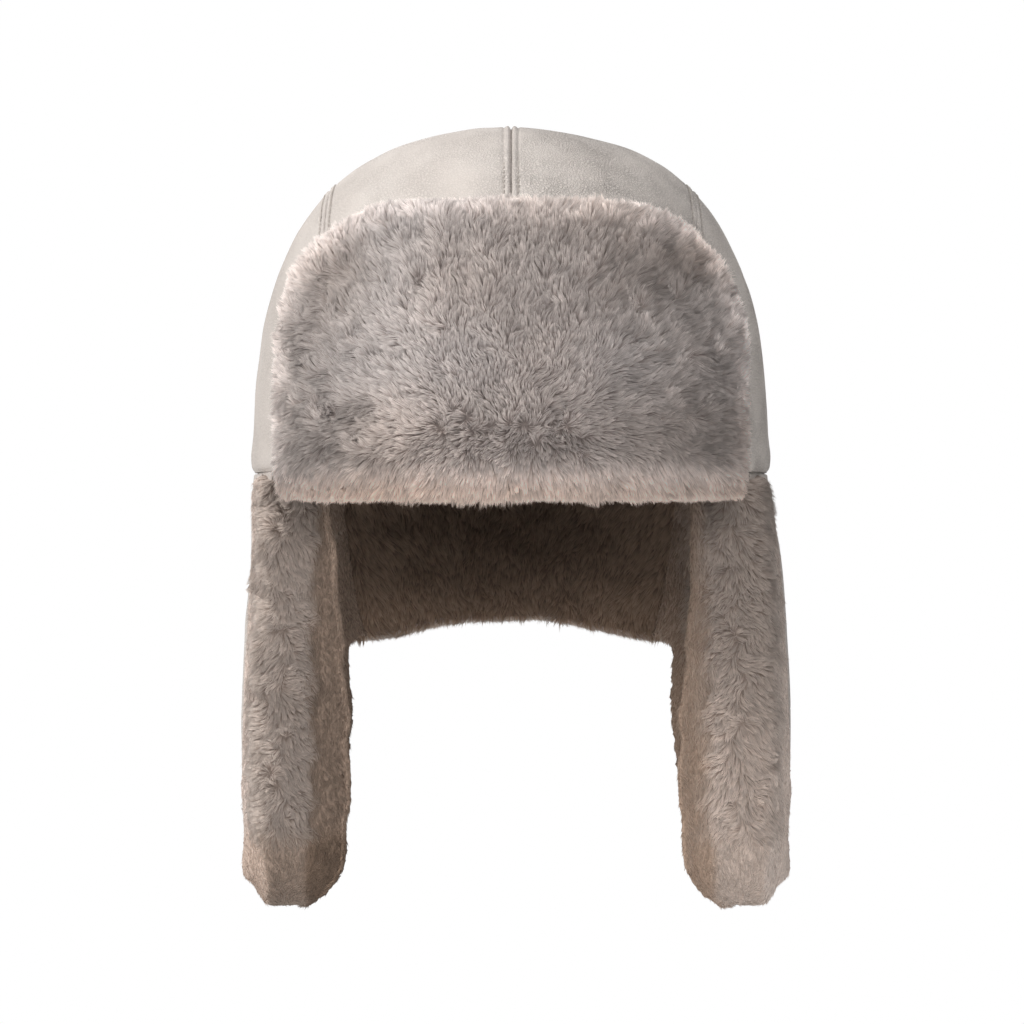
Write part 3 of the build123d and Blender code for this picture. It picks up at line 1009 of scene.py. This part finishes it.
def tone_lining(root, normal):
    """Even in tone, uneven in warmth."""
    return 0.5, 0.6 + 0.4 * smooth_noise(root, 25 * MM, 34)


NAPE_STRANDS, LINING_STRANDS = 40000, 32000


def make_nape_flap():
    body = "nape_flap"
    leather_panel("nape_flap_leather", "nape_flap_skin", body, 0.9 * MM, drift=hang)
    coat, free = pile_body(
        "nape_flap_undercoat", ["nape_flap_wool", "nape_flap_trim"], ["nape_flap_skin"], body,
        "flap", lambda p, n: 2.5 * MM, nape_painted_shade, drift=hang,
    )
    strands(
        "nape_flap_pile", coat, free, NAPE_STRANDS, comb_down, nape_painted_shade, 0.42 * MM, "flap", body,
        300,
    )


def make_lining():
    """One coat for the crown's gores and the brow band, and the brow band's leather."""
    nodes = [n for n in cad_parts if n.startswith("crown_wool")] + ["brow_band_wool"]
    skins = [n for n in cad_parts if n.startswith("crown_skin")] + ["brow_band_skin"]
    coat, free = pile_body(
        "crown_lining", nodes, skins, "crown", "lining", lambda p, n: 4.0 * MM,
        tone_lining, voxel=3.2 * MM,
    )
    strands(
        "crown_lining_pile", coat, free, LINING_STRANDS, comb_lining, tone_lining, 0.6 * MM, "lining",
        "crown", 400, keep=lambda p, n: 1 - ramp(-n[:, 2], 0.1, 0.5),
    )
    leather_panel("brow_band_leather", "brow_band_skin", "crown", 0.1 * MM)


# ================================================================ folds
WEB_THICKNESS = 0.7 * MM
WEB_DEPTH = 1.5 * MM  # how far inside the crown's skin the flaps' webs lie at rest
WEB_TOP, WEB_BOTTOM = 0.8 * MM, -3.6 * MM


def fold_web(
    name, first, last, top=WEB_TOP, bottom=WEB_BOTTOM, out=-WEB_DEPTH, rows=22, columns=90
):
    """Leather along the fold between the crown and a flap, hidden at rest."""
    turns = np.radians(np.linspace(first, last, columns))
    z, turn = np.meshgrid(np.linspace(top, bottom, rows), turns, indexing="ij")
    sheets = []
    for depth in (out, out - WEB_THICKNESS):
        radius = CROWN_HALF_WIDTH + depth
        sheets.append(np.stack([radius * np.sin(turn), -LENGTHEN * radius * np.cos(turn), z], axis=-1))
    outer, inner = (sheet.reshape(-1, 3) for sheet in sheets)
    web = shell_between(name, outer, inner, rows, columns, LEATHER, None)
    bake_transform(web)


def make_folds():
    """Webs between these turns, in degrees from the front towards the wearer's left."""
    for side, sign in SIDES.items():
        first, last = sorted((sign * 66, sign * 116))
        fold_web(f"ear_fold_{side}", first, last)
    fold_web("nape_fold", 146, 214)
    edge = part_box("visor_skin")[0].z
    fold_web("visor_fold_leather", -38, 38, edge + 6 * MM, edge + 0.2 * MM, 0.75 * MM)


def make_tapes():
    """The tapes keep their CAD shape and are woven cotton."""
    for node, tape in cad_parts.items():
        if "tape" in node:
            tape.data.materials.clear()
            tape.data.materials.append(TAPE)


# ================================================================ studio
FLOOR_Z = FLAP_END_Z - 0.23
FLOOR_RADIUS = 0.85
WORLD_STRENGTH = 0.28
CAMERA_DISTANCE = 1.3
CAMERA_X = 0.4 * MM
CAMERA_HEIGHT = -17 * MM
VIEW_WIDTH = 0.4506  # what the frame takes in at the hat's middle
SENSOR_WIDTH = 36
LAMPS = {  # place, width, power, colour
    "key": ((-1.5, -0.85, 0.85), 0.9, 32, (1.0, 0.985, 0.965)),
    "top": ((0.2, 0.25, 1.7), 1.0, 12, (1, 1, 1)),
    "front": ((0.2, -1.6, 0.35), 0.6, 12, (1.0, 0.99, 0.985)),
}


def floor_mesh(rings=24, spokes=96):
    """A level disc in rings round its middle point."""
    points, faces = [(0, 0, FLOOR_Z)], []
    for ring in range(1, rings + 1):
        reach = FLOOR_RADIUS * ring / rings
        for spoke in range(spokes):
            turn = 2 * math.pi * spoke / spokes
            points.append((reach * math.cos(turn), reach * math.sin(turn), FLOOR_Z))
    for spoke in range(spokes):
        faces.append((0, 1 + spoke, 1 + (spoke + 1) % spokes))
    for ring in range(rings - 1):
        for spoke in range(spokes):
            a = 1 + ring * spokes + spoke
            b = 1 + ring * spokes + (spoke + 1) % spokes
            faces.append((a, a + spokes, b + spokes, b))
    mesh = bpy.data.meshes.new("floor")
    mesh.from_pydata(points, [], faces)
    return mesh


def floor_material():
    """Pale floor that keeps the shadow, and fades to plain white away from the hat."""
    material, tree, shader = new_material("floor")
    shader.inputs["Base Color"].default_value = (0.9, 0.9, 0.9, 1)
    shader.inputs["Roughness"].default_value = 0.9
    shader.inputs["Specular IOR Level"].default_value = 0.0
    level = tree.nodes.new("ShaderNodeVectorMath")
    level.operation = "MULTIPLY"
    level.inputs[1].default_value = (1, 1, 0)
    tree.links.new(object_place(tree), level.inputs[0])
    length = tree.nodes.new("ShaderNodeVectorMath")
    length.operation = "LENGTH"
    tree.links.new(level.outputs[0], length.inputs[0])
    fade = rescaled(tree, length.outputs["Value"], 0.35, 1.0, 0.25, 0.8, "SMOOTHSTEP")
    path = tree.nodes.new("ShaderNodeLightPath")
    seen = calculated(tree, "MULTIPLY", fade, path.outputs["Is Camera Ray"])
    white = tree.nodes.new("ShaderNodeEmission")
    white.inputs["Strength"].default_value = 1.0
    mix = tree.nodes.new("ShaderNodeMixShader")
    for socket, value in zip(mix.inputs, (seen, shader.outputs[0], white.outputs[0])):
        tree.links.new(value, socket)
    tree.links.new(mix.outputs[0], tree.nodes["Material Output"].inputs["Surface"])
    return material


def make_floor():
    floor = bpy.data.objects.new("floor", floor_mesh())
    bpy.context.scene.collection.objects.link(floor)
    floor.data.materials.append(floor_material())


def make_world():
    """Soft light on the hat. The camera, gloss and glass see white in its place."""
    world = bpy.data.worlds.new("studio")
    bpy.context.scene.world = world
    world.use_nodes = True
    tree = world.node_tree
    tree.nodes.clear()
    path = tree.nodes.new("ShaderNodeLightPath").outputs
    seen = calculated(tree, "MAXIMUM", path["Is Camera Ray"], path["Is Transmission Ray"])
    white = calculated(tree, "MAXIMUM", seen, path["Is Glossy Ray"])
    mix = tree.nodes.new("ShaderNodeMixShader")
    tree.links.new(white, mix.inputs[0])
    skies = (((1.0, 0.985, 0.97), WORLD_STRENGTH), ((1, 1, 1), 1.0))
    for socket, (colour, strength) in zip((mix.inputs[1], mix.inputs[2]), skies):
        sky = tree.nodes.new("ShaderNodeBackground")
        sky.inputs["Color"].default_value = (*colour, 1)
        sky.inputs["Strength"].default_value = strength
        tree.links.new(sky.outputs[0], socket)
    output = tree.nodes.new("ShaderNodeOutputWorld")
    tree.links.new(mix.outputs[0], output.inputs["Surface"])


def make_camera():
    data = bpy.data.cameras.new("camera")
    data.sensor_width = SENSOR_WIDTH
    data.lens = SENSOR_WIDTH * CAMERA_DISTANCE / VIEW_WIDTH
    camera = bpy.data.objects.new("camera", data)
    camera.location = (CAMERA_X, -CAMERA_DISTANCE, CAMERA_HEIGHT)
    camera.rotation_euler = (math.pi / 2, 0, 0)
    bpy.context.scene.collection.objects.link(camera)
    bpy.context.scene.camera = camera


def make_lamps():
    """Round lamps that face the hat."""
    for name, (place, width, power, colour) in LAMPS.items():
        lamp = bpy.data.lights.new(name, "AREA")
        lamp.shape, lamp.size, lamp.energy, lamp.color = "DISK", width, power, colour
        obj = bpy.data.objects.new(name, lamp)
        obj.location = place
        obj.rotation_euler = (-Vector(place)).to_track_quat("-Z", "Y").to_euler()
        bpy.context.scene.collection.objects.link(obj)


# ================================================================ the whole scene
bpy.context.scene.view_settings.view_transform = "Standard"
make_camera()
make_world()
make_lamps()
make_floor()
make_crown()
make_visor()
for side_name, side_sign in SIDES.items():
    make_ear_flap(side_name, side_sign)
make_nape_flap()
make_lining()
make_folds()
make_tapes()
